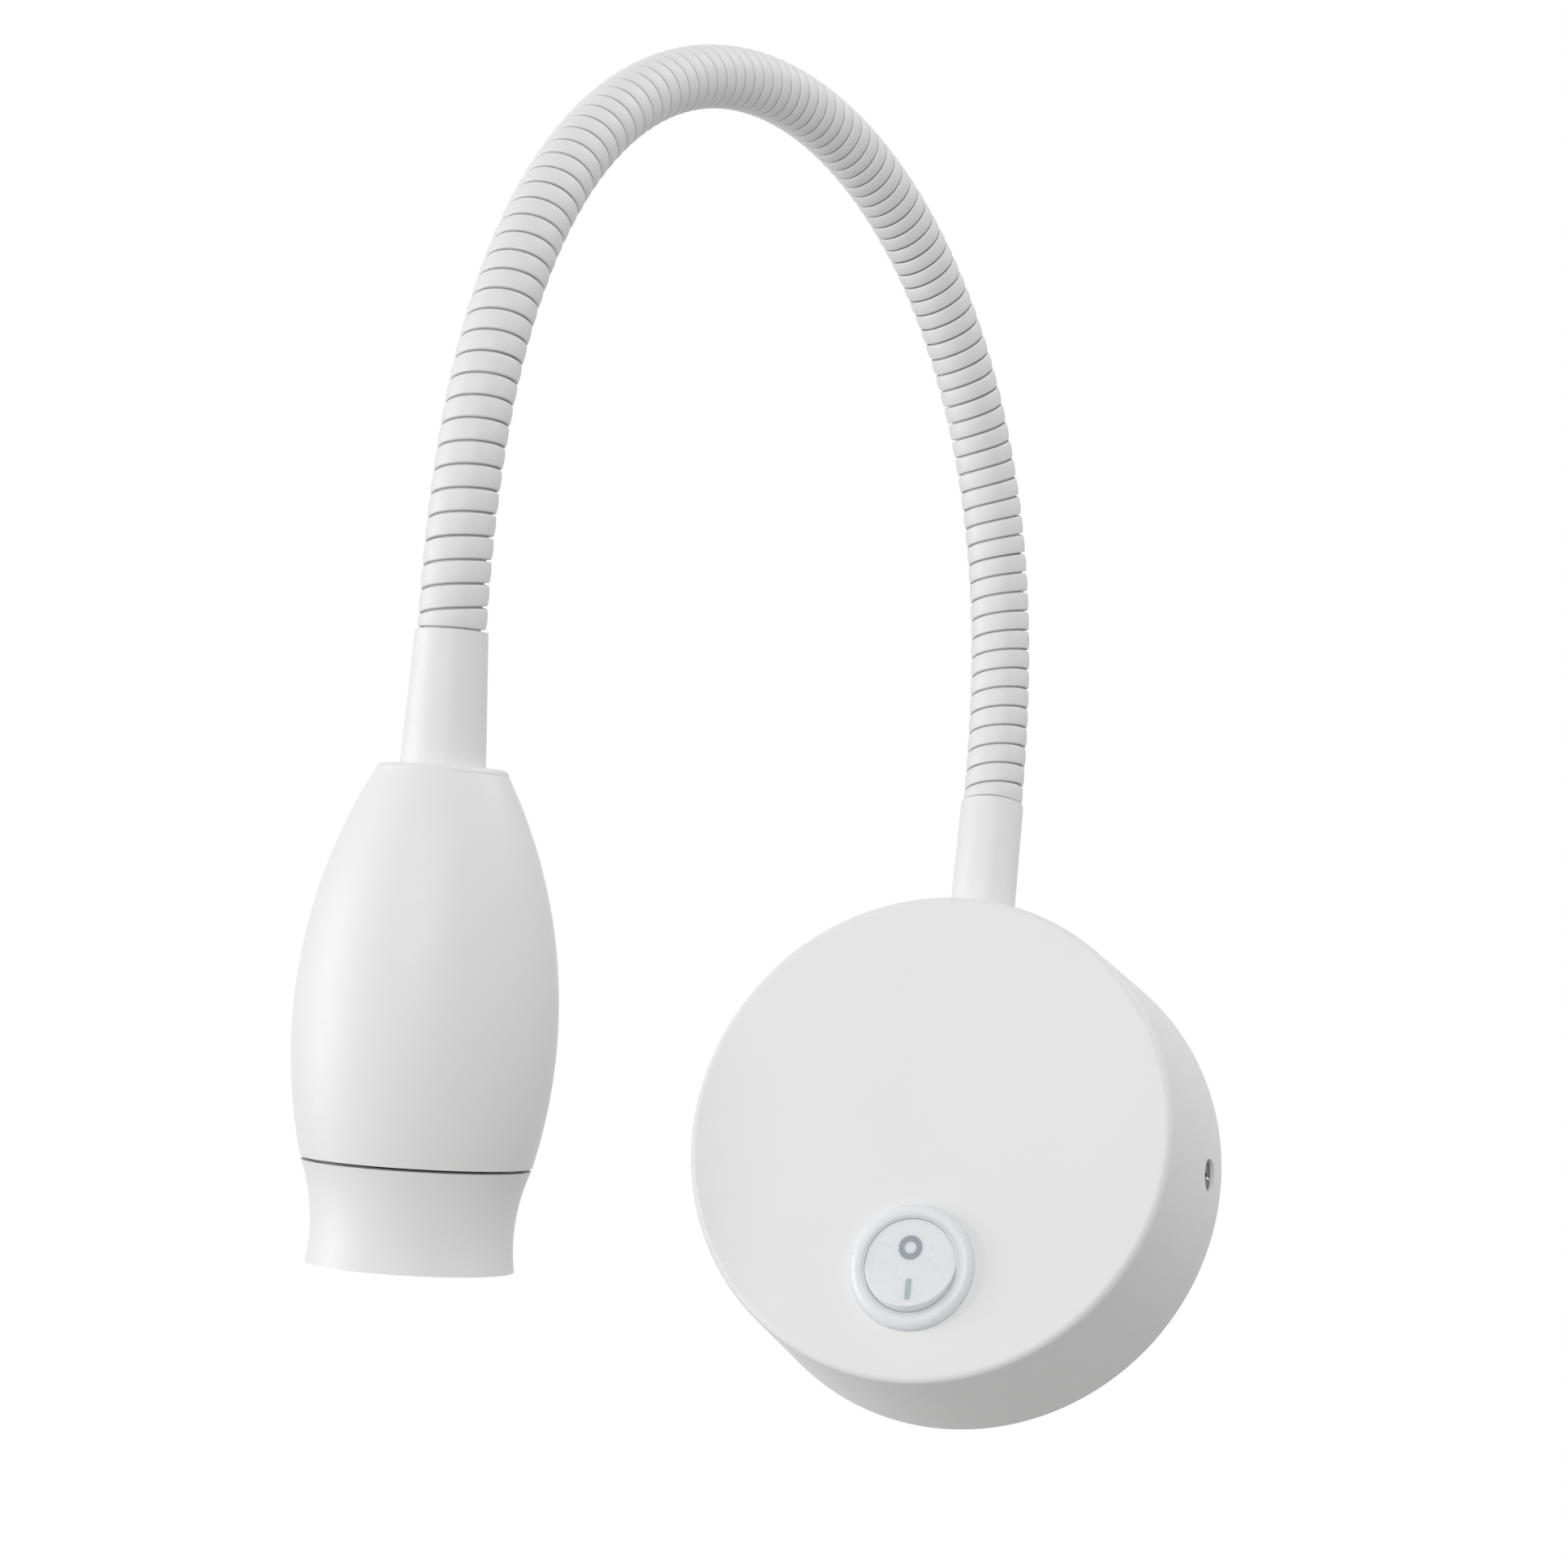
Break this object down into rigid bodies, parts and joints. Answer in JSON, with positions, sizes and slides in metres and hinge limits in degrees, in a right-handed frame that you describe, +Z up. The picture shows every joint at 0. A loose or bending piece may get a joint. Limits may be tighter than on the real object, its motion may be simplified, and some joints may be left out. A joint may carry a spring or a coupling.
{
  "type": "flexible wall spotlight",
  "caption": "White wall lamp: a round base with a rocker switch carries a ribbed gooseneck arm that bends any way and stays put, with a turned spot head.",
  "frame": {"origin": "centre of the base on the wall plane, between the two wall screw slots", "axes": "+Y into the wall, +Z up, +X to the right seen from the room; the lamp stands out along -Y"},
  "size_m": [0.12, 0.1617, 0.23],
  "materials": {
    "white_paint": "satin white powder coat",
    "bracket_steel": "zinc plated steel",
    "brass": "plain brass",
    "switch_white": "semi-gloss moulded",
    "block_white": "natural moulded",
    "dark_plastic": "fine matt",
    "dark_rubber": "matt",
    "board_green": "solder resist",
    "board_white": "white solder resist on aluminium",
    "copper_winding": "taped winding",
    "wire_brown": "soft PVC",
    "wire_blue": "soft PVC",
    "wire_green": "soft PVC",
    "lead_white": "soft PVC",
    "sink_aluminium": "bead blasted",
    "lens_clear": "clear, polished",
    "led_yellow": "phosphor"
  },
  "bodies": {
    "base": {"base_cover": "white_paint", "wall_bracket": "bracket_steel", "side_screws": "bracket_steel", "earth_screw": "brass", "terminal_block": "block_white", "terminal_barrels": "brass", "terminal_screws": "bracket_steel", "block_screws": "bracket_steel", "driver_case": "dark_plastic", "driver_lid": "dark_plastic", "driver_board": "board_green", "driver_transformer": "copper_winding", "driver_capacitor": "dark_plastic", "driver_pad": "dark_rubber", "switch_housing": "switch_white", "switch_blades": "brass", "line_wire": "wire_brown", "switched_wire": "wire_brown", "neutral_wire": "wire_blue", "earth_wire": "wire_green", "base_washer": "bracket_steel", "base_locknut": "brass", "base_nipple": "brass", "base_ferrule": "white_paint", "hose_section_0": "white_paint", "led_lead": "lead_white"},
    "arm_1": {"hose_section_1": "white_paint"},
    "arm_2": {"hose_section_2": "white_paint"},
    "arm_3": {"hose_section_3": "white_paint"},
    "arm_4": {"hose_section_4": "white_paint"},
    "arm_5": {"hose_section_5": "white_paint"},
    "arm_6": {"hose_section_6": "white_paint"},
    "arm_7": {"hose_section_7": "white_paint"},
    "arm_8": {"hose_section_8": "white_paint"},
    "head": {"hose_section_9": "white_paint", "head_ferrule": "white_paint", "head_nipple": "brass", "head_locknut": "brass", "head_body": "white_paint", "heat_sink": "sink_aluminium", "led_board": "board_white", "led_emitter": "led_yellow", "board_screws": "bracket_steel", "lens_holder": "dark_plastic", "lens": "lens_clear", "lens_seal": "dark_rubber", "front_ring": "white_paint"},
    "rocker": {"switch_rocker": "switch_white", "switch_plunger": "bracket_steel"},
    "lever": {"switch_lever": "brass"}
  },
  "joints": [
    {"name": "arm_fold_1", "type": "hinge", "parent": "base", "child": "arm_1", "pos_m": [-0.00053, -0.01202, 0.09726], "axis": [0.9681, -0.2505, 0.001], "range_deg": [-25, 18], "deforming": ["led_lead"]},
    {"name": "arm_sway_2", "type": "hinge", "parent": "arm_1", "child": "arm_2", "pos_m": [-0.00288, -0.02079, 0.127], "axis": [0.2261, 0.8741, 0.43], "range_deg": [-25, 25], "deforming": ["led_lead"]},
    {"name": "arm_fold_3", "type": "hinge", "parent": "arm_2", "child": "arm_3", "pos_m": [-0.00761, -0.03817, 0.15227], "axis": [-0.9662, 0.2576, -0.0072], "range_deg": [-18, 25], "deforming": ["led_lead"]},
    {"name": "arm_sway_4", "type": "hinge", "parent": "arm_3", "child": "arm_4", "pos_m": [-0.0146, -0.06344, 0.16876], "axis": [-0.086, -0.3324, -0.9392], "range_deg": [-25, 25], "deforming": ["led_lead"]},
    {"name": "arm_fold_5", "type": "hinge", "parent": "arm_4", "child": "arm_5", "pos_m": [-0.02301, -0.09295, 0.17277], "axis": [0.9604, -0.2786, -0.0027], "range_deg": [-25, 18], "deforming": ["led_lead"]},
    {"name": "arm_sway_6", "type": "hinge", "parent": "arm_5", "child": "arm_6", "pos_m": [-0.03145, -0.12112, 0.16315], "axis": [-0.1284, -0.4965, 0.8585], "range_deg": [-25, 25], "deforming": ["led_lead"]},
    {"name": "arm_fold_7", "type": "hinge", "parent": "arm_6", "child": "arm_7", "pos_m": [-0.03862, -0.14259, 0.14201], "axis": [-0.9581, 0.2823, 0.0478], "range_deg": [-18, 25], "deforming": ["led_lead"]},
    {"name": "arm_sway_8", "type": "hinge", "parent": "arm_7", "child": "arm_8", "pos_m": [-0.0438, -0.15425, 0.11373], "axis": [0.2433, 0.9409, -0.2354], "range_deg": [-25, 25], "deforming": ["led_lead"]},
    {"name": "arm_fold_9", "type": "hinge", "parent": "arm_8", "child": "head", "pos_m": [-0.04704, -0.15602, 0.08286], "axis": [0.965, -0.2436, -0.0966], "range_deg": [-25, 18], "deforming": ["led_lead"]},
    {"name": "rocker_tip", "type": "hinge", "parent": "base", "child": "rocker", "pos_m": [0, -0.031, -0.024], "axis": [1, 0, 0], "range_deg": [0, 14]},
    {"name": "lever_tip", "type": "hinge", "parent": "base", "child": "lever", "pos_m": [0, -0.0194, -0.024], "axis": [1, 0, 0], "range_deg": [-12, 0]}
  ],
  "couplings": [
    {"joint": "lever_tip", "follows": "rocker_tip", "ratio": -0.85714}
  ]
}
